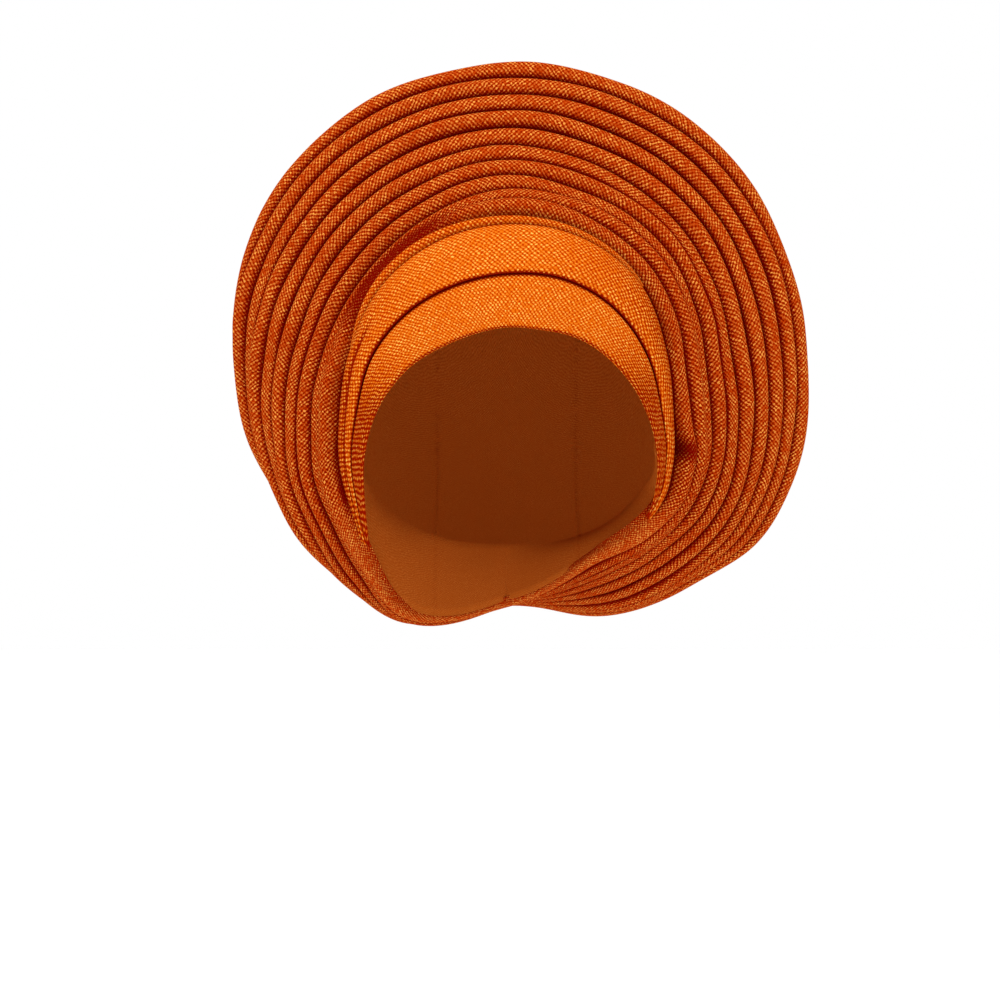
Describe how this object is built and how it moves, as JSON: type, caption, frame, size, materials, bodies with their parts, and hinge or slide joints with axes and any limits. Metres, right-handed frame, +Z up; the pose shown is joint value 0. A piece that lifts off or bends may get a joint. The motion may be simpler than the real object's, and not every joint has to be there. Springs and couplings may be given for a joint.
{
  "type": "pleated turban headwrap",
  "caption": "Ready-made pleated turban headwrap of gold-flecked orange cloth: two flat bands over the forehead and a tall fan of rolled pleats behind them",
  "frame": {"origin": "point inside the crown of the cap where the head bears", "axes": "+Z up, -Y out of the face opening, +X to the viewer's right as seen from the front"},
  "size_m": [0.282, 0.192, 0.2715],
  "materials": {
    "pleat_cloth": "woven, gold-flecked",
    "band_cloth": "woven, gold-flecked",
    "cap_cloth": "matte"
  },
  "bodies": {
    "root": {"head_cap_middle": "cap_cloth", "head_cap_left": "cap_cloth", "head_cap_right": "cap_cloth", "forehead_band_lower": "band_cloth", "forehead_band_upper": "band_cloth", "band_rim": "band_cloth", "pleat_01": "pleat_cloth", "pleat_02": "pleat_cloth", "pleat_03": "pleat_cloth", "pleat_04": "pleat_cloth", "pleat_05": "pleat_cloth", "pleat_06": "pleat_cloth", "pleat_07": "pleat_cloth", "pleat_08": "pleat_cloth", "pleat_09": "pleat_cloth", "pleat_10": "pleat_cloth", "back_panel": "pleat_cloth"}
  },
  "joints": []
}
